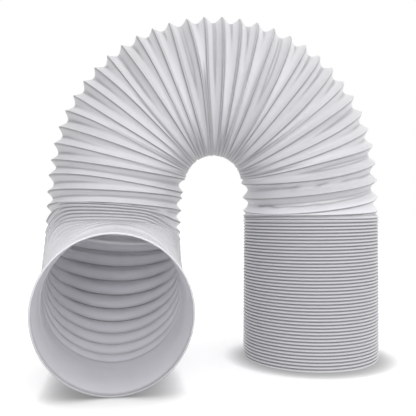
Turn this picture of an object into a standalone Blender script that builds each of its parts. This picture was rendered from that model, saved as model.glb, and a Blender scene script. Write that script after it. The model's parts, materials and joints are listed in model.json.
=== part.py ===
"""Dryer vent hose: one helical bellows hose that stands as an upside-down U, one leg folded shut."""
import bisect
import math

import bmesh
import bpy
import numpy
from mathutils import Matrix, Vector

MM = 0.001
UP = Vector((0.0, 0.0, 1.0))

# Pleats: one helical ridge and one helical groove, folded shut in the column and open beyond it
FOLDED_TURNS = 46
OPEN_TURNS = 47
TURNS = FOLDED_TURNS + OPEN_TURNS
FOLDED_PITCH = 3.43 * MM
OPEN_PITCH = 19.2 * MM
PLEAT_WALL_LENGTH = 12.2 * MM
WIDEST_PITCH = 1.9 * PLEAT_WALL_LENGTH
RIDGE_RADIUS = 75.0 * MM
BORE_RADIUS = 61.5 * MM
WALL = 0.7 * MM
GROOVE_WALL = 1.2 * MM

# Mesh: points round the hose, and how many of their steps the first ridge lies above the foot
SEGMENTS = 20
SEGMENT_ANGLE = math.tau / SEGMENTS
FIRST_RIDGE_STEPS = 8

# Smooth cuff round the mouth
CUFF_LENGTH = 55.0 * MM
CUFF_RADIUS = 71.6 * MM
CUFF_BORE_RADIUS = 68.8 * MM
RIM_RADIUS = 72.0 * MM
STEP_DEPTH = 0.8 * MM
RIM_ROUND = 0.8 * MM
SETTLE_LENGTH = 60.0 * MM
SETTLE_DROP = 4.7 * MM

# Route of the hose's middle line: up the column, over the arch, down the left leg and out to the front
ROUTE_STEP = 1.0 * MM
PITCH_EASE = 15.0 * MM
COLUMN_X = 110.6 * MM
COLUMN_Y = 43.8 * MM
COLUMN_HEIGHT = FOLDED_TURNS * FOLDED_PITCH
WEDGE_LENGTH = 12.0 * MM
WEDGE_TURN = math.radians(5.0)
WEDGE_TILT = math.radians(6.9)
RIGHT_LENGTH = 32.0 * MM
ARCH_RADIUS = 106.4 * MM
ARCH_TURN = math.radians(164.6)
LEFT_LENGTH = 18.2 * MM
LEFT_BEND_LENGTH = 12.7 * MM
LEFT_BEND_TURN = math.radians(6.45)
LEFT_LEAN = math.radians(-12.8)
ELBOW_RADIUS = 75.9 * MM
ELBOW_UNLEAN_TURN = math.radians(17.2)
ELBOW_YAW = math.radians(11.3)
MOUTH_YAW = math.radians(8.0)
STRAIGHTEN_LENGTH = 28.1 * MM
MOUTH_LENGTH = 49.0 * MM


def smooth_step(value):
    value = min(max(value, 0.0), 1.0)
    return value * value * (3.0 - 2.0 * value)


def mix(low, high, share):
    return low + (high - low) * share


class Route:
    """Middle line of the hose, walked in short steps: at each the point, the ways across and back, the bend."""

    def __init__(self):
        self.places = [0.0]
        self.points = [Vector((COLUMN_X, COLUMN_Y, 0.0))]
        self.frame = Matrix.Identity(3)
        self.frames = [self.frame]
        self.lean = 0.0
        self.walk(COLUMN_HEIGHT)
        self.walk(WEDGE_LENGTH, math.hypot(WEDGE_TURN, WEDGE_TILT), Vector((WEDGE_TILT, -WEDGE_TURN, 0.0)))
        self.walk(RIGHT_LENGTH)
        to_left = -self.frame.col[1]
        self.walk(ARCH_RADIUS * ARCH_TURN / 2, ARCH_TURN / 2, to_left)
        self.walk(ARCH_RADIUS * ARCH_TURN / 2, ARCH_TURN / 2, to_left, LEFT_LEAN / 2)
        self.walk(LEFT_LENGTH, lean=LEFT_LEAN / 6)
        self.walk(LEFT_BEND_LENGTH, LEFT_BEND_TURN, to_left, LEFT_LEAN / 6)
        self.walk_elbow()
        self.end = self.places[-1]
        self.pleat_end = self.end - CUFF_LENGTH
        self.count_turns()

    def walk(self, length, angle=0.0, axis=UP, lean=0.0):
        """Walks on while the hose turns about an axis and its pleats lean about the left-to-right line."""
        count = math.ceil(length / ROUTE_STEP)
        half_turn = Matrix.Rotation(angle / count / 2, 3, axis)
        for step in range(count):
            self.frame = half_turn @ self.frame
            self.points.append(self.points[-1] + self.frame.col[2] * (length / count))
            self.frame = half_turn @ self.frame
            self.lean += lean / count
            self.frames.append(Matrix.Rotation(self.lean, 3, "X") @ self.frame)
            self.places.append(self.places[-1] + length / count)

    def walk_elbow(self):
        """Straight down to where the elbow comes out level at the mouth's height, then round it and ahead."""
        down = self.frame.col[2].copy()
        ahead = Vector((math.sin(ELBOW_YAW), -math.cos(ELBOW_YAW), 0.0))
        to_front = down.cross(ahead)
        turn = down.angle(ahead)
        drop = -down.z * ELBOW_RADIUS * math.tan(turn / 2)
        height = self.points[-1].z - drop - RIM_RADIUS - SETTLE_DROP
        self.walk(height / -down.z, lean=LEFT_LEAN / 6)
        self.walk(ELBOW_RADIUS * ELBOW_UNLEAN_TURN, ELBOW_UNLEAN_TURN, to_front, -LEFT_LEAN)
        rest = turn - ELBOW_UNLEAN_TURN
        self.walk(ELBOW_RADIUS * rest, rest, to_front)
        self.walk(STRAIGHTEN_LENGTH, MOUTH_YAW - ELBOW_YAW, UP)
        self.walk(MOUTH_LENGTH)

    def count_turns(self):
        """Turns reached along the route: in a bend the outer side stays open and the inner side folds."""
        places = numpy.array(self.places)
        normals = numpy.array([frame.col[2] for frame in self.frames])
        kernel = numpy.ones(round(PITCH_EASE / ROUTE_STEP))
        kernel /= kernel.sum()
        bends = [numpy.convolve(part, kernel, mode="same") for part in numpy.gradient(normals, places, axis=0).T]
        self.bends = [Vector(bend) for bend in zip(*bends)]
        curvatures = numpy.linalg.norm(bends, axis=0)
        rates = (1.0 + RIDGE_RADIUS * curvatures) / OPEN_PITCH * (places > COLUMN_HEIGHT - ROUTE_STEP / 2)
        counted = numpy.concatenate(([0.0], numpy.cumsum(numpy.diff(places) * (rates[1:] + rates[:-1]) / 2)))
        scale = OPEN_TURNS / numpy.interp(self.pleat_end, places, counted)
        self.counted = counted * scale
        self.pitches = OPEN_PITCH / scale / (1.0 + RIDGE_RADIUS * curvatures)

    def place_of_turn(self, turn):
        """Distance along the route at which a number of turns is reached."""
        if turn <= FOLDED_TURNS:
            return turn * FOLDED_PITCH
        return float(numpy.interp(turn - FOLDED_TURNS, self.counted, self.places))

    def settle(self, along):
        """0 on the pleated hose, 1 on the cuff, which is narrower and lies lower."""
        return smooth_step(1.0 - (self.pleat_end - along) / SETTLE_LENGTH)

    def at(self, along):
        """Middle point, ways across and back, and the bend: the way that it turns to times its curvature."""
        step = min(max(bisect.bisect_left(self.places, along), 1), len(self.places) - 1)
        before, after = self.places[step - 1 : step + 1]
        share = min(max((along - before) / (after - before), 0.0), 1.0)
        middle = mix(self.points[step - 1], self.points[step], share)
        across, back = (mix(self.frames[step - 1].col[i], self.frames[step].col[i], share) for i in (0, 1))
        return middle - UP * SETTLE_DROP * self.settle(along), across, back, self.bends[step]

    def local_pitch(self, along, side):
        """Pitch at one side of the hose."""
        if along <= COLUMN_HEIGHT:
            return FOLDED_PITCH
        pitch = float(numpy.interp(along, self.places, self.pitches))
        pitch *= 1.0 - self.at(along)[3].dot(side) * RIDGE_RADIUS
        return min(max(pitch, FOLDED_PITCH), WIDEST_PITCH)


ROUTE = Route()


def pleat_radii(along, pitch):
    """Radius of the outer ridge, outer groove, inner ridge and inner groove."""
    opened = smooth_step((along - COLUMN_HEIGHT) / OPEN_PITCH)
    depth = math.sqrt(PLEAT_WALL_LENGTH ** 2 - (pitch / 2) ** 2)
    slant = PLEAT_WALL_LENGTH / (pitch / 2)
    groove = RIDGE_RADIUS - depth
    inner_ridge = mix(BORE_RADIUS, RIDGE_RADIUS - WALL * slant, opened)
    inner_groove = mix(BORE_RADIUS, groove - max(GROOVE_WALL, WALL * slant / 2), opened)
    return RIDGE_RADIUS, groove, inner_ridge, inner_groove


def hose_point(along, angle, radius):
    middle, across, back, bend = ROUTE.at(along)
    return middle + (across * math.cos(angle) + back * math.sin(angle)) * radius


def pleat_point(turn, angle, mark):
    """Point of a skin: mark 1 to 2 is the inner groove to ridge, 3 to 4 the outer one."""
    along = ROUTE.place_of_turn(turn)
    middle, across, back, bend = ROUTE.at(along)
    side = across * math.cos(angle) + back * math.sin(angle)
    ridge, groove, inner_ridge, inner_groove = pleat_radii(along, ROUTE.local_pitch(along, side))
    if mark > 2.5:
        radius = mix(groove, ridge, mark - 3.0)
        cuff = CUFF_RADIUS
    else:
        radius = mix(inner_groove, inner_ridge, mark - 1.0)
        cuff = CUFF_BORE_RADIUS
    return middle + side * mix(radius, cuff, ROUTE.settle(along))


def add_pleat_skin(mesh, first_turn, last_turn, groove_mark):
    """A zigzag line swept round once with a lead of one pleat, then cut flat at both ends."""
    steps = range(2 * (first_turn - 1), 2 * (last_turn + 1) + 1)
    start = Vector((math.cos(SEGMENT_ANGLE / 2), math.sin(SEGMENT_ANGLE / 2), 0.0))
    first_ridge = UP * (FIRST_RIDGE_STEPS / SEGMENTS - 0.5)
    line = [mesh.verts.new(start * (groove_mark + step % 2) + UP * step / 2 + first_ridge) for step in steps]
    edges = [mesh.edges.new(pair) for pair in zip(line, line[1:])]
    bmesh.ops.spin(
        mesh, geom=line + edges, cent=(0, 0, 0), axis=UP, dvec=UP / SEGMENTS, angle=math.tau, steps=SEGMENTS
    )
    bmesh.ops.remove_doubles(mesh, verts=mesh.verts[:], dist=0.01)
    for turn, facing in ((first_turn, -1), (last_turn, 1)):
        bmesh.ops.bisect_plane(
            mesh,
            geom=mesh.verts[:] + mesh.edges[:] + mesh.faces[:],
            dist=0.005,
            plane_co=(0, 0, turn),
            plane_no=UP * facing,
            clear_outer=True,
        )


def map_skin(mesh):
    """Moves a skin from turns, angle and mark onto the hose, and keeps each point's angle."""
    angles = mesh.verts.layers.float.new("angle")
    for vert in mesh.verts:
        angle = math.atan2(vert.co.y, vert.co.x)
        angle = (round(angle / SEGMENT_ANGLE - 0.5) + 0.5) * SEGMENT_ANGLE
        mark = math.hypot(vert.co.x, vert.co.y)
        turn = round(vert.co.z * SEGMENTS) / SEGMENTS
        vert[angles] = angle
        vert.co = pleat_point(turn, angle, mark)


def open_edges(mesh, along):
    """Open edges of the skin at one place on the route."""
    middle = ROUTE.at(along)[0]
    return [
        edge
        for edge in mesh.edges
        if edge.is_boundary and all((v.co - middle).length < 1.2 * RIDGE_RADIUS for v in edge.verts)
    ]


def rim_verts(edges):
    return {vert for edge in edges for vert in edge.verts}


def extend(mesh, edges):
    """Extends an open end by one ring, and returns the new open edges."""
    made = bmesh.ops.extrude_edge_only(mesh, edges=edges)["geom"]
    return [item for item in made if isinstance(item, bmesh.types.BMEdge) and item.is_boundary]


def add_rings(mesh, edges, rings):
    """Extends an open end through rings, each given as distance along the route and radius."""
    angles = mesh.verts.layers.float["angle"]
    for along, radius in rings:
        edges = extend(mesh, edges)
        for vert in rim_verts(edges):
            vert.co = hose_point(along, vert[angles], radius)


def outer_skin():
    mesh = bmesh.new()
    add_pleat_skin(mesh, 0, TURNS, 3)
    map_skin(mesh)
    half = CUFF_LENGTH / 2
    rings = [
        (ROUTE.pleat_end + half - 2.0 * MM, CUFF_RADIUS),
        (ROUTE.pleat_end + half, CUFF_RADIUS - STEP_DEPTH),
        (ROUTE.pleat_end + half + 2.0 * MM, CUFF_RADIUS),
        (ROUTE.end - 4.0 * MM, CUFF_RADIUS),
        (ROUTE.end - 1.5 * MM, RIM_RADIUS),
        (ROUTE.end, RIM_RADIUS - RIM_ROUND),
    ]
    add_rings(mesh, open_edges(mesh, ROUTE.pleat_end), rings)
    return mesh


def inner_skin():
    mesh = bmesh.new()
    add_pleat_skin(mesh, FOLDED_TURNS, TURNS, 1)
    map_skin(mesh)
    add_rings(mesh, open_edges(mesh, COLUMN_HEIGHT), [(COLUMN_HEIGHT / 2, BORE_RADIUS), (0.0, BORE_RADIUS)])
    rings = [
        (ROUTE.end - 1.5 * MM, CUFF_BORE_RADIUS),
        (ROUTE.end, CUFF_BORE_RADIUS + RIM_ROUND),
    ]
    add_rings(mesh, open_edges(mesh, ROUTE.pleat_end), rings)
    return mesh


def close_end(inner, outer, along):
    """Carries the inner skin's open end out to the outer skin's, as a flat ring."""
    angles = outer.verts.layers.float["angle"]
    places = {round(vert[angles] / SEGMENT_ANGLE, 1): vert.co for vert in rim_verts(open_edges(outer, along))}
    edges = extend(inner, open_edges(inner, along))
    angles = inner.verts.layers.float["angle"]
    for vert in rim_verts(edges):
        vert.co = places[round(vert[angles] / SEGMENT_ANGLE, 1)]


def join_skins(outer, inner):
    """One closed body from the two skins."""
    close_end(inner, outer, 0.0)
    close_end(inner, outer, ROUTE.end)
    data = bpy.data.meshes.new("vent_hose")
    inner.to_mesh(data)
    inner.free()
    outer.from_mesh(data)
    bmesh.ops.remove_doubles(outer, verts=outer.verts[:], dist=0.001 * MM)
    bmesh.ops.recalc_face_normals(outer, faces=outer.faces[:])
    for face in outer.faces:
        face.smooth = True
    outer.to_mesh(data)
    outer.free()
    return data


def plastic():
    material = bpy.data.materials.new("vent_hose plastic")
    material.use_nodes = True
    shader = material.node_tree.nodes["Principled BSDF"]
    shader.inputs["Base Color"].default_value = (0.62, 0.63, 0.66, 1.0)
    shader.inputs["Roughness"].default_value = 0.45
    return material


def main():
    for thing in list(bpy.data.objects):
        bpy.data.objects.remove(thing)
    data = join_skins(outer_skin(), inner_skin())
    data.materials.append(plastic())
    data.set_sharp_from_angle(angle=math.radians(30.0))
    hose = bpy.data.objects.new("vent_hose", data)
    bpy.context.scene.collection.objects.link(hose)


main()
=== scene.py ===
"""Dryer vent hose: the looks of one helical bellows hose, on a plain pale stage."""

import bisect
import json
import math

import bmesh
import bpy
import numpy
from mathutils import Matrix, Vector

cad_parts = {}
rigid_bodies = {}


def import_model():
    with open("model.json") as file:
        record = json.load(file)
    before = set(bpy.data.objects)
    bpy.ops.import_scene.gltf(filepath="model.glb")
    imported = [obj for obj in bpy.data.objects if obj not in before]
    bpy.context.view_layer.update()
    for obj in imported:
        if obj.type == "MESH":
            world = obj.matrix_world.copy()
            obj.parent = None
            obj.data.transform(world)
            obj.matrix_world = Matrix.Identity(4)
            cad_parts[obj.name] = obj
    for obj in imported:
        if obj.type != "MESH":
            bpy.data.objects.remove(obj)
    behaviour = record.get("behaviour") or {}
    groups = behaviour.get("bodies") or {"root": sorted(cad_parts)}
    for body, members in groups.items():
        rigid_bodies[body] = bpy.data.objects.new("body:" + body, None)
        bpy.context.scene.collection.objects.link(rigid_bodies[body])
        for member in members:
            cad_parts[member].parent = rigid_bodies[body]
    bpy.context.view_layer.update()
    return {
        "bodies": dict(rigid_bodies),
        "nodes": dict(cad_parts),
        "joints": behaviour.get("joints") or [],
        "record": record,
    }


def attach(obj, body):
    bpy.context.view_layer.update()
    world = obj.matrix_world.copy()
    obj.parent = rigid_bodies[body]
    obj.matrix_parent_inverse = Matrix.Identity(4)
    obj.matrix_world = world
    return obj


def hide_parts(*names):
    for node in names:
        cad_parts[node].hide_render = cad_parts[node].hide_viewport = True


bl_info = {
    "name": "Vent hose",
    "version": (1, 0, 0),
    "blender": (4, 5, 0),
    "location": "3D View > Sidebar > Vent hose",
    "description": "Models a pleated vent hose and its plain studio",
    "category": "Add Mesh",
}

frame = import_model()

MM = 0.001
UP = Vector((0.0, 0.0, 1.0))

# Pleats: one helical ridge and one helical groove, folded shut in the column and open beyond it
FOLDED_TURNS = 46
OPEN_TURNS = 47
TURNS = FOLDED_TURNS + OPEN_TURNS
FIRST_RIDGE = 24 / 64
FOLDED_PITCH = 3.43 * MM
OPEN_PITCH = 19.2 * MM
PLEAT_WALL_LENGTH = 12.2 * MM
WIDEST_PITCH = 1.9 * PLEAT_WALL_LENGTH
RIDGE_RADIUS = 75.0 * MM
BORE_RADIUS = 61.5 * MM

# Across one pleat: how soon grooves open with the pitch, where they are shallower, sharp and round ridges
OPENING_RATE = 3.0
SHALLOWER_IN_BENDS = 0.8
FOLDED_THROAT_SHARE = 0.4
SHARP_POWER = 1.6
ROUND_POWER = 2.6

# Distances before the last pleat over which the pleats get shallow, outside and inside, and their lines of
# painted shade fade
THROAT = (145.0 * MM, 90.0 * MM)
INNER_THROAT = (40.0 * MM, 22.0 * MM)
PAINTED_SHADE_FADE = (141.0 * MM, 108.0 * MM)

# Smooth cuff round the mouth, with a small step inside where it starts
CUFF_LENGTH = 55.0 * MM
RIM_RADIUS = 72.0 * MM
SETTLE_LENGTH = 60.0 * MM
SETTLE_DROP = 4.7 * MM
STEP_HEIGHT = 1.1 * MM
STEP_LENGTH = 3.0 * MM
STEP_RINGS = (1.0 * MM, 1.8 * MM, 2.6 * MM)
CUFF_PARTS = 8
LIP_RINGS = 8
LIP_RING_TURN = 13

# Where the pleats bunch up: in waves of a few turns on the arch's inner side, and stacked on the elbow's
GATHER_WAVES = ((1.0, 3.1), (0.6, 1.9))
GATHER_SIDE = (-1.125, 0.125)
STACK_TURNS = 5.5
STACK_SIDE = (0.3, 0.9)
PITCH_NUDGE = 0.05

# Route of the hose's middle line: up the column, over the arch, down the left leg and out to the front
ROUTE_STEP = 1.0 * MM
PITCH_EASE = 15.0 * MM
COLUMN_X = 110.6 * MM
COLUMN_Y = 43.8 * MM
COLUMN_HEIGHT = FOLDED_TURNS * FOLDED_PITCH
WEDGE_LENGTH = 12.0 * MM
WEDGE_TURN = math.radians(5.0)
WEDGE_TILT = math.radians(6.9)
RIGHT_LENGTH = 32.0 * MM
ARCH_RADIUS = 106.4 * MM
ARCH_TURN = math.radians(164.6)
LEFT_LENGTH = 18.2 * MM
LEFT_BEND_LENGTH = 12.7 * MM
LEFT_BEND_TURN = math.radians(6.45)
LEFT_LEAN = math.radians(-12.8)
ELBOW_RADIUS = 75.9 * MM
ELBOW_UNLEAN_TURN = math.radians(17.2)
ELBOW_YAW = math.radians(11.3)
MOUTH_YAW = math.radians(8.0)
STRAIGHTEN_LENGTH = 28.1 * MM
MOUTH_LENGTH = 49.0 * MM

# Painted shade, as fine dark lines: beside the open ridges, mostly on their undersides, in the folded grooves,
# and on the lip's lower side
PAINTED_SHADE_OFFSET = 0.7 * MM
PAINTED_SHADE_WIDTH = 1.3 * MM
UNDERSIDE_SHARE = 0.75
UNDERSIDE_SLOPE = 0.9
FOLDED_PAINTED_SHADE = (0.35, 0.78)
FOLDED_PAINTED_SHADE_EDGE = (0.3, 0.9)
PAINTED_SHADE_OPENING = 0.2 * OPEN_PITCH
THROAT_PAINTED_SHADE = 0.15
LIP_PAINTED_SHADE = 0.7

# Painted shade, as fine dark lines inside the ridges, on the wall that is seen through the mouth
INNER_PAINTED_SHADE_PITCH = (0.5 * OPEN_PITCH, 0.85 * OPEN_PITCH)
INNER_PAINTED_SHADE_SIDE = (0.45, 0.8)

# Mesh: segments round the hose, and the points across one pleat in 64ths of its pitch, from the ridge on
SEGMENTS = 64
OUTER_ROWS = (0, 2, 5, 11, 18, 25, 32, 39, 46, 53, 59, 62)
INNER_ROWS = (0, 3, 10, 22, 42, 54, 61)
BORE_RINGS = (0.75, 0.5, 0.25, 0.0)
MERGE_TURNS = 0.004
CUT_TURNS = 0.002
MERGE_LENGTH = 0.0005 * MM

# Plastic: tints of its colour, one of them for the painted shade, its noises, how its gloss and surface vary,
# and how far light spreads in it
DARK_TINT = 0.95
LIGHT_TINT = 1.04
PAINTED_SHADE_TINT = 0.3
STREAKS = {"Scale": 6.0, "Detail": 3.0}
STREAK_STRETCH = 3.0
CLOUD = {"Scale": 14.0, "Detail": 2.0}
GLOSS_CHANGE = 0.08
BUMP_STRENGTH = 0.15
BUMP_HEIGHT = 0.2 * MM
GLOW_REACH = 4.0 * MM

# Lamps
KEY_PLACE = Vector((0.35, -1.5, 1.1))
KEY_TARGET = UP * 0.15
KEY_SIZE = 1.2
FILL_PLACE = Vector((-0.16, -1.3, 0.36))
FILL_TARGET = Vector((-87.0, -108.0, 72.0)) * MM
FILL_SIZE = 0.3
FILL_SPREAD = math.radians(35)

# Even light: heights between which it changes, and its fall-off from a little right of the middle
GROUND_TO_HORIZON = (-1.0, -0.1)
HORIZON_TO_SKY = (0.05, 0.8)
BRIGHT_SIDE = 0.2
SIDE_FALL = (0.35, 1.25)

# Floor, with a contact shade: how far it reaches, the way that it looks for the hose, its fall-off and tint
FLOOR_SIZE = 6.0
FLOOR_ROUGHNESS = 0.9
SHADE_REACH = 27.0 * MM
SHADE_WAY = (0.0, 0.7, 0.71)
SHADE_POWER = 2.8
SHADE_TINT = 0.35
SHADE_SAMPLES = 16

SENSOR_WIDTH = 36.0


class HoseSettings(bpy.types.PropertyGroup):
    wall: bpy.props.FloatProperty(
        name="Wall", description="Thickness of the pleated film", default=0.6 * MM, unit="LENGTH"
    )
    folded_groove: bpy.props.FloatProperty(
        name="Folded groove", description="Depth to which the gap between two folded pleats shows",
        default=2.6 * MM, unit="LENGTH",
    )
    cuff_radius: bpy.props.FloatProperty(
        name="Cuff radius", description="Outer radius of the smooth cuff", default=71.4 * MM, unit="LENGTH"
    )
    cuff_wall: bpy.props.FloatProperty(
        name="Cuff wall", description="Thickness of the smooth cuff", default=1.8 * MM, unit="LENGTH"
    )
    open_groove: bpy.props.FloatProperty(
        name="Open groove", description="Depth of the groove between two open pleats", default=7.6 * MM,
        unit="LENGTH",
    )
    throat_groove: bpy.props.FloatProperty(
        name="Throat groove", description="Depth of the last pleats, next to the cuff", default=4.6 * MM,
        unit="LENGTH",
    )
    gather: bpy.props.FloatProperty(
        name="Gather", description="How far the pleats bunch up in the bends", default=1.9 * MM,
        unit="LENGTH",
    )
    ridge_round: bpy.props.FloatProperty(
        name="Ridge rounding", description="Rounding of the ridges, as a share of half a pleat",
        default=0.04, min=0.0, max=0.5,
    )
    colour: bpy.props.FloatVectorProperty(
        name="Plastic", description="Base colour of the plastic", default=(0.76, 0.755, 0.79), size=3,
        subtype="COLOR", min=0.0, max=1.0,
    )
    roughness: bpy.props.FloatProperty(
        name="Roughness", description="Roughness of the plastic", default=0.42, min=0.0, max=1.0
    )
    glow_through: bpy.props.FloatProperty(
        name="Light through the film", description="Share of the light that spreads inside the thin plastic",
        default=0.62, min=0.0, max=1.0,
    )


class StageSettings(bpy.types.PropertyGroup):
    floor_colour: bpy.props.FloatVectorProperty(
        name="Floor", description="Colour of the floor", default=(0.96, 0.96, 0.96), size=3, subtype="COLOR",
        min=0.0, max=1.0,
    )
    floor_glow: bpy.props.FloatProperty(
        name="Floor glow", description="Light that the floor gives off itself, to come out white",
        default=0.2, min=0.0,
    )
    sky_strength: bpy.props.FloatProperty(
        name="Sky", description="Strength of the even light from overhead", default=1.1, min=0.0
    )
    horizon_strength: bpy.props.FloatProperty(
        name="Horizon", description="Strength of the even light from level with the hose", default=1.55,
        min=0.0,
    )
    side_share: bpy.props.FloatProperty(
        name="Side light", description="Share of the even light that comes in from the far left",
        default=0.3, min=0.0, max=1.0,
    )
    ground_strength: bpy.props.FloatProperty(
        name="Ground light", description="Strength of the even light from below", default=0.72, min=0.0
    )
    key_power: bpy.props.FloatProperty(
        name="Key light", description="Power of the large light above, in front", default=2.5, min=0.0,
        unit="POWER",
    )
    fill_power: bpy.props.FloatProperty(
        name="Fill light", description="Power of the light in front of the mouth", default=0.06, min=0.0,
        unit="POWER",
    )
    lens: bpy.props.FloatProperty(
        name="Lens", description="Focal length on a 36 mm wide sensor", default=50.0, min=1.0, unit="CAMERA"
    )
    camera_height: bpy.props.FloatProperty(
        name="Camera height", description="Height of the camera above the floor", default=165.0 * MM,
        unit="LENGTH",
    )
    camera_distance: bpy.props.FloatProperty(
        name="Camera distance", description="From the camera to the folded leg's middle", default=654.0 * MM,
        unit="LENGTH",
    )
    camera_offset: bpy.props.FloatProperty(
        name="Camera offset", description="From the folded leg's middle to the camera, to the left",
        default=115.1 * MM, unit="LENGTH",
    )


def smooth_step(value):
    value = min(max(value, 0.0), 1.0)
    return value * value * (3.0 - 2.0 * value)


def rise(value, low, high):
    """Smooth change from 0 to 1 while a value passes from low to high."""
    return smooth_step((value - low) / (high - low))


def mix(low, high, share):
    return low + (high - low) * share


def tint(colour, share):
    """A colour made darker or lighter, with full alpha."""
    return (*(min(1.0, share * part) for part in colour), 1.0)


class Route:
    """Middle line of the hose, walked in short steps, with the ways across, back and on at each."""

    def __init__(self):
        self.places = [0.0]
        self.points = [Vector((COLUMN_X, COLUMN_Y, 0.0))]
        self.frame = Matrix.Identity(3)
        self.frames = [self.frame]
        self.lean = 0.0
        self.walk(COLUMN_HEIGHT)
        wedge_axis = Vector((WEDGE_TILT, -WEDGE_TURN, 0.0))
        self.walk(WEDGE_LENGTH, math.hypot(WEDGE_TURN, WEDGE_TILT), wedge_axis)
        self.walk(RIGHT_LENGTH)
        to_left = -self.frame.col[1]
        self.walk(ARCH_RADIUS * ARCH_TURN / 2, ARCH_TURN / 2, to_left)
        self.walk(ARCH_RADIUS * ARCH_TURN / 2, ARCH_TURN / 2, to_left, LEFT_LEAN / 2)
        self.walk(LEFT_LENGTH, lean=LEFT_LEAN / 6)
        self.walk(LEFT_BEND_LENGTH, LEFT_BEND_TURN, to_left, LEFT_LEAN / 6)
        self.walk_elbow()
        self.end = self.places[-1]
        self.pleat_end = self.end - CUFF_LENGTH
        self.count_turns()

    def walk(self, length, angle=0.0, axis=UP, lean=0.0):
        """Walks on while the hose turns about an axis and its pleats lean about the left-to-right line."""
        count = math.ceil(length / ROUTE_STEP)
        half_turn = Matrix.Rotation(angle / count / 2, 3, axis)
        for step in range(count):
            self.frame = half_turn @ self.frame
            self.points.append(self.points[-1] + self.frame.col[2] * (length / count))
            self.frame = half_turn @ self.frame
            self.lean += lean / count
            self.frames.append(Matrix.Rotation(self.lean, 3, "X") @ self.frame)
            self.places.append(self.places[-1] + length / count)

    def walk_elbow(self):
        """Straight down to where the elbow comes out level at the mouth's height, round it and ahead."""
        down = self.frame.col[2].copy()
        ahead = Vector((math.sin(ELBOW_YAW), -math.cos(ELBOW_YAW), 0.0))
        to_front = down.cross(ahead)
        turn = down.angle(ahead)
        drop = -down.z * ELBOW_RADIUS * math.tan(turn / 2)
        height = self.points[-1].z - drop - RIM_RADIUS - SETTLE_DROP
        self.walk(height / -down.z, lean=LEFT_LEAN / 6)
        self.elbow_start = self.places[-1]
        self.walk(ELBOW_RADIUS * ELBOW_UNLEAN_TURN, ELBOW_UNLEAN_TURN, to_front, -LEFT_LEAN)
        rest = turn - ELBOW_UNLEAN_TURN
        self.walk(ELBOW_RADIUS * rest, rest, to_front)
        self.walk(STRAIGHTEN_LENGTH, MOUTH_YAW - ELBOW_YAW, UP)
        self.walk(MOUTH_LENGTH)

    def count_turns(self):
        """Turns reached along the route: in a bend the outer side stays open and the inner side folds."""
        places = numpy.array(self.places)
        normals = numpy.array([frame.col[2] for frame in self.frames])
        kernel = numpy.ones(round(PITCH_EASE / ROUTE_STEP))
        kernel /= kernel.sum()
        changes = numpy.gradient(normals, places, axis=0)
        bends = [numpy.convolve(part, kernel, mode="same") for part in changes.T]
        self.bends = [Vector(bend) for bend in zip(*bends)]
        curvatures = numpy.linalg.norm(bends, axis=0)
        rates = (1.0 + RIDGE_RADIUS * curvatures) / OPEN_PITCH * (places > COLUMN_HEIGHT - ROUTE_STEP / 2)
        steps = numpy.diff(places) * (rates[1:] + rates[:-1]) / 2
        counted = numpy.concatenate(([0.0], numpy.cumsum(steps)))
        scale = OPEN_TURNS / numpy.interp(self.pleat_end, places, counted)
        self.counted = counted * scale

    def place_of_turn(self, turn):
        """Distance along the route at which a number of turns is reached."""
        if turn <= FOLDED_TURNS:
            return turn * FOLDED_PITCH
        return float(numpy.interp(turn - FOLDED_TURNS, self.counted, self.places))

    def turn_of_place(self, along):
        return FOLDED_TURNS + float(numpy.interp(along, self.places, self.counted))

    def settle(self, along):
        """0 on the pleated hose, 1 on the cuff, which is narrower and lies lower."""
        return smooth_step(1.0 - (self.pleat_end - along) / SETTLE_LENGTH)

    def onward(self, along):
        """Way in which the hose runs on."""
        return self.frames[bisect.bisect_left(self.places, along)].col[2]

    def at(self, along):
        """Middle point, ways across and back, and the bend: the way it turns to, times its curvature."""
        step = min(max(bisect.bisect_left(self.places, along), 1), len(self.places) - 1)
        before, after = self.places[step - 1 : step + 1]
        share = min(max((along - before) / (after - before), 0.0), 1.0)
        middle = mix(self.points[step - 1], self.points[step], share)
        across, back = (mix(self.frames[step - 1].col[i], self.frames[step].col[i], share) for i in (0, 1))
        return middle - UP * SETTLE_DROP * self.settle(along), across, back, self.bends[step]


def ridge_share(turn, angle):
    """0 on a ridge, -1 and 1 in the grooves before and behind it."""
    return 2.0 * ((turn - angle / math.tau - FIRST_RIDGE + 0.5) % 1.0) - 1.0


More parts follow.
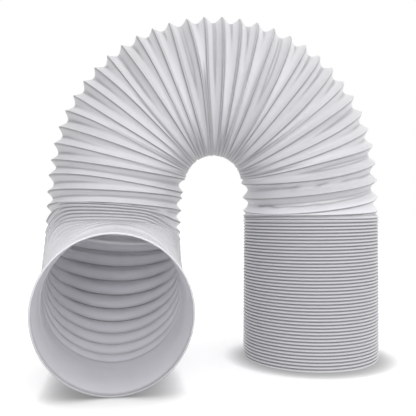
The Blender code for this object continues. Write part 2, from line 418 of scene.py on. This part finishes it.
class Pleats:
    """Points of the hose's outer and inner surface, from turns and angle."""

    def __init__(self, route, settings):
        self.route = route
        self.settings = settings
        first = route.turn_of_place(route.elbow_start)
        last = first + STACK_TURNS
        stack_end = route.elbow_start + ELBOW_RADIUS * ELBOW_UNLEAN_TURN
        self.stack_turns = (first, last, TURNS)
        self.stack_places = (route.elbow_start, stack_end, route.pleat_end)

    def throat(self, along, reach=THROAT):
        """0 on the open hose, 1 close to the cuff: on the way the pleats get shallow and round."""
        return rise(along, *(self.route.pleat_end - distance for distance in reach))

    def radius(self, share, pitch, throat, bend=0.0):
        """Radius outside: open pleats have sharp ridges and round grooves, folded ones the reverse."""
        settings = self.settings
        opened = min(max((pitch - FOLDED_PITCH) / (OPEN_PITCH - FOLDED_PITCH), 0.0), 1.0)
        folded_groove = settings.folded_groove * (1.0 - SHALLOWER_IN_BENDS * min(bend * ARCH_RADIUS, 1.0))
        throat_share = mix(FOLDED_THROAT_SHARE, 1.0, min(OPENING_RATE * opened, 1.0))
        throat_groove = settings.throat_groove * throat_share
        depth = mix(mix(folded_groove, settings.open_groove, opened), throat_groove, throat)
        sharpness = smooth_step(OPENING_RATE * opened) * (1.0 - throat)
        share = min(math.hypot(share, settings.ridge_round), 1.0)
        sharp = (1.0 - share) ** SHARP_POWER
        rounded = 1.0 - share ** ROUND_POWER
        return RIDGE_RADIUS - depth * (1.0 - mix(rounded, sharp, sharpness))

    def along(self, turn, angle):
        """Distance along the route at one side: the pleats bunch up on the inner side of a bend."""
        along = self.route.place_of_turn(turn)
        if turn > self.stack_turns[0]:
            stacked = float(numpy.interp(turn, self.stack_turns, self.stack_places))
            return mix(along, stacked, rise(-math.sin(angle), *STACK_SIDE))
        bend = self.route.at(along)[3].length * ARCH_RADIUS
        gather = self.settings.gather * min(bend, 1.0) * rise(-math.cos(angle), *GATHER_SIDE)
        waves = sum(share * math.sin(math.tau * turn / period) for share, period in GATHER_WAVES)
        return along + gather * waves

    def local(self, turn, angle):
        """Distance along the route, middle there, way to this side, and pitch at this side."""
        along = self.along(turn, angle)
        middle, across, back, bend = self.route.at(along)
        side = across * math.cos(angle) + back * math.sin(angle)
        ahead = self.along(turn + PITCH_NUDGE, angle) - self.along(turn - PITCH_NUDGE, angle)
        pitch = ahead / (2.0 * PITCH_NUDGE) * (1.0 - bend.dot(side) * RIDGE_RADIUS)
        return along, middle, side, min(max(pitch, FOLDED_PITCH), WIDEST_PITCH)

    def outer(self, turn, angle):
        along, middle, side, pitch = self.local(turn, angle)
        bend = self.route.at(along)[3].length
        radius = self.radius(abs(ridge_share(turn, angle)), pitch, self.throat(along), bend)
        return middle + side * mix(radius, self.settings.cuff_radius, self.route.settle(along))

    def inner(self, turn, angle):
        """The wall's inner side: the outer surface moved inwards, square to the pleat."""
        along, middle, side, pitch = self.local(turn, angle)
        nudge = 1.0 / SEGMENTS
        share = ridge_share(turn, angle)
        before, radius, after = (
            self.radius(min(abs(share + 2.0 * step), 1.0), pitch, 0.0) for step in (-nudge, 0.0, nudge)
        )
        settings = self.settings
        radius -= settings.wall * math.hypot(1.0, (after - before) / (2.0 * nudge * pitch))
        throat_radius = RIDGE_RADIUS - settings.throat_groove - settings.wall
        radius = mix(radius, throat_radius, self.throat(along, INNER_THROAT))
        radius = mix(BORE_RADIUS, radius, smooth_step((along - COLUMN_HEIGHT) / OPEN_PITCH))
        cuff_bore = settings.cuff_radius - settings.cuff_wall
        return middle + side * mix(radius, cuff_bore, self.route.settle(along))

    def outer_painted_shade(self, turn, angle):
        """Strength of the painted shade, a dark line beside each open ridge, or in each folded groove."""
        share = ridge_share(turn, angle)
        along, _, _, pitch = self.local(turn, angle)
        onward = self.route.onward(along) * math.copysign(1.0, share)
        # painted shade: stronger on the side of the ridge that faces down
        under = smooth_step(UNDERSIDE_SHARE - UNDERSIDE_SLOPE * onward.z)
        ridge = under * smooth_step(1.0 - abs(abs(share) * pitch / 2 - PAINTED_SHADE_OFFSET) / PAINTED_SHADE_WIDTH)
        # painted shade in the folded grooves
        groove = mix(*FOLDED_PAINTED_SHADE, rise(abs(share), *FOLDED_PAINTED_SHADE_EDGE))
        start = rise(turn, FOLDED_TURNS - 1, FOLDED_TURNS) * rise(turn, FOLDED_TURNS + 3, FOLDED_TURNS + 2)
        opened = max(smooth_step((pitch - FOLDED_PITCH) / PAINTED_SHADE_OPENING), start)
        left = mix(1.0, THROAT_PAINTED_SHADE, self.throat(along, PAINTED_SHADE_FADE)) * (1.0 - self.route.settle(along))
        return mix(groove, ridge, opened) * left

    def inner_painted_shade(self, turn, angle):
        """Strength of the painted shade, a dark line inside each ridge: it fades where pleats close up, and
        near the cuff.
        """
        share = ridge_share(turn, angle)
        along, _, _, pitch = self.local(turn, angle)
        near = smooth_step(1.0 - abs(share) * pitch / 2 / PAINTED_SHADE_WIDTH)
        opened = rise(pitch, *INNER_PAINTED_SHADE_PITCH)
        # painted shade only on the side of the wall that is seen through the mouth
        behind = rise(math.sin(angle), *INNER_PAINTED_SHADE_SIDE)
        return near * opened * behind * (1.0 - self.throat(along, INNER_THROAT))


def add_pleat_skin(mesh, first_turn, rows, point_of, painted_shade_of):
    """A line swept round once with a lead of one pleat, cut flat at both ends and laid on the route."""
    line = [
        mesh.verts.new(Vector((1.0, 0.0, turn + FIRST_RIDGE + row / SEGMENTS)))
        for turn in range(first_turn - 2, TURNS + 1)
        for row in rows
    ]
    edges = [mesh.edges.new(pair) for pair in zip(line, line[1:])]
    bmesh.ops.spin(
        mesh, geom=line + edges, cent=(0, 0, 0), axis=UP, dvec=UP / SEGMENTS, angle=math.tau, steps=SEGMENTS
    )
    bmesh.ops.remove_doubles(mesh, verts=mesh.verts[:], dist=MERGE_TURNS)
    for turn, facing in ((first_turn, -1), (TURNS, 1)):
        bmesh.ops.bisect_plane(
            mesh,
            geom=mesh.verts[:] + mesh.edges[:] + mesh.faces[:],
            dist=CUT_TURNS,
            plane_co=(0, 0, turn),
            plane_no=UP * facing,
            clear_outer=True,
        )
    angles = mesh.verts.layers.float.new("angle")
    turns = mesh.verts.layers.float.new("turn")
    # the line layer holds the strength of the painted shade
    lines = mesh.verts.layers.float.new("line")
    for vert in mesh.verts:
        angle = math.atan2(vert.co.y, vert.co.x)
        turn = min(max(vert.co.z, first_turn), TURNS)
        vert[angles] = angle
        vert[turns] = turn
        vert[lines] = painted_shade_of(turn, angle)
        vert.co = point_of(turn, angle)


def end_edges(mesh, turn):
    """Open edges at the end that is at this number of turns."""
    turns = mesh.verts.layers.float["turn"]
    return [
        edge for edge in mesh.edges
        if edge.is_boundary and all(abs(vert[turns] - turn) < 0.5 for vert in edge.verts)
    ]


def edge_verts(edges):
    return {vert for edge in edges for vert in edge.verts}


def extend(mesh, edges):
    """Extends an open end by one ring, and returns its new open edges."""
    made = bmesh.ops.extrude_edge_only(mesh, edges=edges)["geom"]
    return [item for item in made if isinstance(item, bmesh.types.BMEdge) and item.is_boundary]


def add_rings(mesh, edges, route, rings):
    """Extends an open end through rings: place, radius, its rise on the upper side, painted shade on the lower.
    """
    angles = mesh.verts.layers.float["angle"]
    turns = mesh.verts.layers.float["turn"]
    lines = mesh.verts.layers.float["line"]
    for along, radius, upper, line in rings:
        edges = extend(mesh, edges)
        middle, across, back, _ = route.at(along)
        for vert in edge_verts(edges):
            angle = vert[angles]
            vert[turns] = along / FOLDED_PITCH if along < COLUMN_HEIGHT else TURNS
            # painted shade on the lip, strongest on its lower side
            lower = 0.5 + 0.5 * math.sin(angle)
            vert[lines] = line * lower
            side = across * math.cos(angle) + back * math.sin(angle)
            vert.co = middle + side * (radius + upper * (1.0 - lower))


def cuff_rings(route, settings):
    """The cuff's outer and inner rings: a tube with a small step inside, a slight flare and a round lip."""
    start = route.pleat_end
    end = route.end
    outer = settings.cuff_radius
    inner = outer - settings.cuff_wall
    lip = settings.cuff_wall / 2
    flare = RIM_RADIUS - outer
    outer_rings = []
    inner_rings = [
        (start + part, inner, STEP_HEIGHT * smooth_step(part / STEP_LENGTH), 0.0) for part in STEP_RINGS
    ]
    for part in range(1, CUFF_PARTS):
        share = part / CUFF_PARTS
        along = mix(start, end - 2.0 * lip, share)
        flared = flare * share ** 3
        outer_rings.append((along, outer + flared, 0.0, 0.0))
        inner_rings.append((along, inner + flared, STEP_HEIGHT * (1.0 - share), 0.0))
    middle = RIM_RADIUS - lip
    for part in range(LIP_RINGS):
        angle = math.radians(90 - LIP_RING_TURN * part)
        along = end - lip + lip * math.cos(angle)
        # the lip's rings carry painted shade
        outer_rings.append((along, middle + lip * math.sin(angle), 0.0, LIP_PAINTED_SHADE))
        inner_rings.append((along, middle - lip * math.sin(angle), 0.0, LIP_PAINTED_SHADE))
    inner_rings.pop()
    return outer_rings, inner_rings


def close_end(mesh, outer_edges, inner_edges):
    """Carries the inner open end to the outer one."""
    angles = mesh.verts.layers.float["angle"]

    def degrees(vert):
        return round(math.degrees(vert[angles]), 1) % 360.0

    places = {degrees(vert): vert.co.copy() for vert in edge_verts(outer_edges)}
    for vert in edge_verts(extend(mesh, inner_edges)):
        vert.co = places[degrees(vert)]


def hose_mesh(settings):
    """Outer and inner skin, each run on through cuff or bore, and joined at the mouth and at the foot."""
    route = Route()
    pleats = Pleats(route, settings)
    outer_rings, inner_rings = cuff_rings(route, settings)
    outer = bmesh.new()
    add_pleat_skin(outer, 0, OUTER_ROWS, pleats.outer, pleats.outer_painted_shade)
    add_rings(outer, end_edges(outer, TURNS), route, outer_rings)
    inner = bmesh.new()
    add_pleat_skin(inner, FOLDED_TURNS, INNER_ROWS, pleats.inner, pleats.inner_painted_shade)
    bore = [(COLUMN_HEIGHT * share, BORE_RADIUS, 0.0, 0.0) for share in BORE_RINGS]
    add_rings(inner, end_edges(inner, FOLDED_TURNS), route, bore)
    add_rings(inner, end_edges(inner, TURNS), route, inner_rings)
    inside = inner.faces.layers.int.new("inside")
    outer.faces.layers.int.new("inside")
    for face in inner.faces:
        face[inside] = 1
    data = bpy.data.meshes.new("vent_hose_pleated")
    inner.to_mesh(data)
    inner.free()
    outer.from_mesh(data)
    inside = outer.faces.layers.int["inside"]
    for turn in (0, TURNS):
        open_ends = end_edges(outer, turn)
        inner_edges = [edge for edge in open_ends if edge.link_faces[0][inside]]
        outer_edges = [edge for edge in open_ends if not edge.link_faces[0][inside]]
        close_end(outer, outer_edges, inner_edges)
    bmesh.ops.remove_doubles(outer, verts=outer.verts[:], dist=MERGE_LENGTH)
    bmesh.ops.recalc_face_normals(outer, faces=outer.faces[:])
    for face in outer.faces:
        face.smooth = True
    outer.to_mesh(data)
    outer.free()
    return data


class Value:
    """A socket of a shader node that can be used in plain arithmetic."""

    def __init__(self, tree, socket):
        self.tree = tree
        self.socket = socket

    def maths(self, operation, *parts):
        return self.tree.node("ShaderNodeMath", {"operation": operation}, list(parts)).out(0)

    def __add__(self, other):
        return self.maths("ADD", self, other)

    def __sub__(self, other):
        return self.maths("SUBTRACT", self, other)

    def __rsub__(self, other):
        return self.maths("SUBTRACT", other, self)

    def __mul__(self, other):
        return self.maths("MULTIPLY", self, other)

    def __pow__(self, other):
        return self.maths("POWER", self, other)

    def __abs__(self):
        return self.maths("ABSOLUTE", self)

    __radd__ = __add__
    __rmul__ = __mul__


class Made:
    """A shader node that was just made, for its outputs."""

    def __init__(self, tree, node):
        self.tree = tree
        self.node = node

    def out(self, name):
        return Value(self.tree, self.node.outputs[name])


class Tree:
    """Node tree of one material or world."""

    def __init__(self, owner, shader):
        owner.use_nodes = True
        self.owner = owner
        self.nodes = owner.node_tree.nodes
        self.links = owner.node_tree.links
        self.shader = self.nodes[shader]

    def node(self, kind, settings=None, values=()):
        made = self.nodes.new(kind)
        for name, setting in (settings or {}).items():
            setattr(made, name, setting)
        pairs = values.items() if isinstance(values, dict) else enumerate(values)
        for place, value in pairs:
            self.feed(made.inputs[place], value)
        return Made(self, made)

    def blend(self, share, first, second):
        """Mix of two colours."""
        return self.node("ShaderNodeMix", {"data_type": "RGBA"}, {0: share, 6: first, 7: second}).out(2)

    def rise(self, value, reach, ends):
        """Smooth change from one end to the other while a value passes through a reach."""
        limits = dict(zip(("From Min", "From Max", "To Min", "To Max"), (*reach, *ends)))
        settings = {"interpolation_type": "SMOOTHSTEP"}
        return self.node("ShaderNodeMapRange", settings, {"Value": value, **limits}).out(0)

    def feed(self, socket, value):
        if isinstance(value, Value):
            self.links.new(value.socket, socket)
        else:
            socket.default_value = value

    def set(self, **inputs):
        for name, value in inputs.items():
            self.feed(self.shader.inputs[name.replace("_", " ")], value)


def hose_plastic(settings):
    """Satin light grey plastic with faint streaks that run round the hose, and painted shade as a dark line at
    each fold.
    """
    tree = Tree(bpy.data.materials.new("hose plastic"), "Principled BSDF")
    place = tree.node("ShaderNodeAttribute", {"attribute_name": "pleat_place"}).out("Vector")
    # the line attribute carries the strength of the painted shade
    line = tree.node("ShaderNodeAttribute", {"attribute_name": "line"}).out("Fac")
    streaks = tree.node("ShaderNodeTexNoise", {}, {"Vector": place, **STREAKS}).out(0)
    where = tree.node("ShaderNodeTexCoord").out("Object")
    cloud = tree.node("ShaderNodeTexNoise", {}, {"Vector": where, **CLOUD}).out(0)
    # folded is the colour of the painted shade
    folded, dark, light = (tint(settings.colour, share) for share in (PAINTED_SHADE_TINT, DARK_TINT, LIGHT_TINT))
    plain = tree.blend(0.5 * streaks + 0.5 * cloud, dark, light)
    relief = {"Strength": BUMP_STRENGTH, "Distance": BUMP_HEIGHT, "Height": streaks}
    tree.set(
        # painted shade darkens the colour along the lines
        Base_Color=tree.blend(line, plain, folded),
        Roughness=settings.roughness + GLOSS_CHANGE * streaks,
        Normal=tree.node("ShaderNodeBump", {}, relief).out("Normal"),
        Subsurface_Weight=settings.glow_through,
        Subsurface_Radius=(1.0, 1.0, 1.0),
        Subsurface_Scale=GLOW_REACH,
    )
    return tree.owner


class HOSE_OT_hose(bpy.types.Operator):
    """Make the pleated hose"""

    bl_idname = "vent_hose.hose"
    bl_label = "Pleated hose"

    def execute(self, context):
        settings = context.scene.hose_settings
        data = hose_mesh(settings)
        hose = bpy.data.objects.new("vent_hose_pleated", data)
        context.scene.collection.objects.link(hose)
        place = data.attributes.new("pleat_place", "FLOAT_VECTOR", "POINT")
        angles = data.attributes["angle"]
        turns = data.attributes["turn"]
        for index, item in enumerate(place.data):
            angle = angles.data[index].value
            item.vector = (math.cos(angle), math.sin(angle), STREAK_STRETCH * turns.data[index].value)
        data.materials.append(hose_plastic(settings))
        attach(hose, "root")
        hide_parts("vent_hose")
        return {"FINISHED"}


class HOSE_OT_stage(bpy.types.Operator):
    """Make the floor, the lights and the camera"""

    bl_idname = "vent_hose.stage"
    bl_label = "Stage"

    def execute(self, context):
        settings = context.scene.stage_settings
        scene = context.scene
        add_floor(scene, settings)
        add_light(scene, "key light", KEY_PLACE, KEY_TARGET, KEY_SIZE, settings.key_power)
        fill = add_light(scene, "fill light", FILL_PLACE, FILL_TARGET, FILL_SIZE, settings.fill_power)
        fill.spread = FILL_SPREAD
        scene.world = even_light(settings)
        scene.view_settings.view_transform = "Standard"
        add_camera(scene, settings)
        return {"FINISHED"}


def even_light(settings):
    """White where the camera sees it. Its light is strongest level with the hose, and weaker from the sides."""
    tree = Tree(bpy.data.worlds.new("even light"), "Background")
    way = tree.node("ShaderNodeTexCoord").out("Generated")
    parts = tree.node("ShaderNodeSeparateXYZ", {}, {"Vector": way})
    seen = tree.node("ShaderNodeLightPath").out("Is Camera Ray")
    ground, horizon, sky = settings.ground_strength, settings.horizon_strength, settings.sky_strength
    lower = tree.rise(parts.out("Z"), GROUND_TO_HORIZON, (ground, horizon))
    upper = tree.rise(parts.out("Z"), HORIZON_TO_SKY, (0.0, sky - horizon))
    aside = tree.rise(abs(parts.out("X") - BRIGHT_SIDE), SIDE_FALL, (1.0, settings.side_share))
    tree.set(Color=(1.0, 1.0, 1.0, 1.0), Strength=seen + (1.0 - seen) * (lower + upper) * aside)
    return tree.owner


def add_floor(scene, settings):
    """White paper with a soft grey shade where the hose comes close. It sends no light back to the hose."""
    mesh = bmesh.new()
    bmesh.ops.create_grid(mesh, x_segments=1, y_segments=1, size=FLOOR_SIZE)
    data = bpy.data.meshes.new("floor")
    mesh.to_mesh(data)
    mesh.free()
    floor = bpy.data.objects.new("floor", data)
    scene.collection.objects.link(floor)
    tree = Tree(bpy.data.materials.new("floor paper"), "Principled BSDF")
    near = {"Distance": SHADE_REACH, "Normal": tree.node("ShaderNodeCombineXYZ", {}, SHADE_WAY).out(0)}
    open_share = tree.node("ShaderNodeAmbientOcclusion", {"samples": SHADE_SAMPLES}, near).out("AO")
    grey, white = (tint(settings.floor_colour, share) for share in (SHADE_TINT, 1.0))
    paper = tree.blend(open_share ** SHADE_POWER, grey, white)
    tree.set(Base_Color=paper, Emission_Color=paper, Emission_Strength=settings.floor_glow)
    tree.set(Roughness=FLOOR_ROUGHNESS)
    data.materials.append(tree.owner)
    floor.visible_diffuse = False


def add_light(scene, name, place, target, size, power):
    """Adds a square lamp and returns its data."""
    light = bpy.data.lights.new(name, "AREA")
    light.size = size
    light.energy = power
    holder = bpy.data.objects.new(name, light)
    holder.location = place
    holder.rotation_euler = (target - place).to_track_quat("-Z", "Y").to_euler()
    scene.collection.objects.link(holder)
    return light


def add_camera(scene, settings):
    """Adds a level camera in front of the hose, which looks straight back."""
    camera = bpy.data.cameras.new("camera")
    camera.lens = settings.lens
    camera.sensor_width = SENSOR_WIDTH
    holder = bpy.data.objects.new("camera", camera)
    aside = COLUMN_X - settings.camera_offset
    holder.location = (aside, COLUMN_Y - settings.camera_distance, settings.camera_height)
    holder.rotation_euler = (math.radians(90), 0.0, 0.0)
    scene.collection.objects.link(holder)
    scene.camera = holder


class HOSE_PT_panel(bpy.types.Panel):
    """Buttons that make the hose and its stage"""

    bl_idname = "HOSE_PT_panel"
    bl_label = "Vent hose"
    bl_space_type = "VIEW_3D"
    bl_region_type = "UI"
    bl_category = "Vent hose"

    def draw(self, context):
        for settings, operator in (
            (context.scene.hose_settings, HOSE_OT_hose),
            (context.scene.stage_settings, HOSE_OT_stage),
        ):
            for name in settings.__annotations__:
                self.layout.prop(settings, name)
            self.layout.operator(operator.bl_idname)


CLASSES = (HoseSettings, StageSettings, HOSE_OT_hose, HOSE_OT_stage, HOSE_PT_panel)


def register():
    for item in CLASSES:
        bpy.utils.register_class(item)
    bpy.types.Scene.hose_settings = bpy.props.PointerProperty(type=HoseSettings)
    bpy.types.Scene.stage_settings = bpy.props.PointerProperty(type=StageSettings)


def unregister():
    del bpy.types.Scene.stage_settings
    del bpy.types.Scene.hose_settings
    for item in reversed(CLASSES):
        bpy.utils.unregister_class(item)


def main():
    register()
    bpy.ops.vent_hose.hose()
    bpy.ops.vent_hose.stage()
    bpy.context.view_layer.update()


if __name__ == "__main__":
    main()
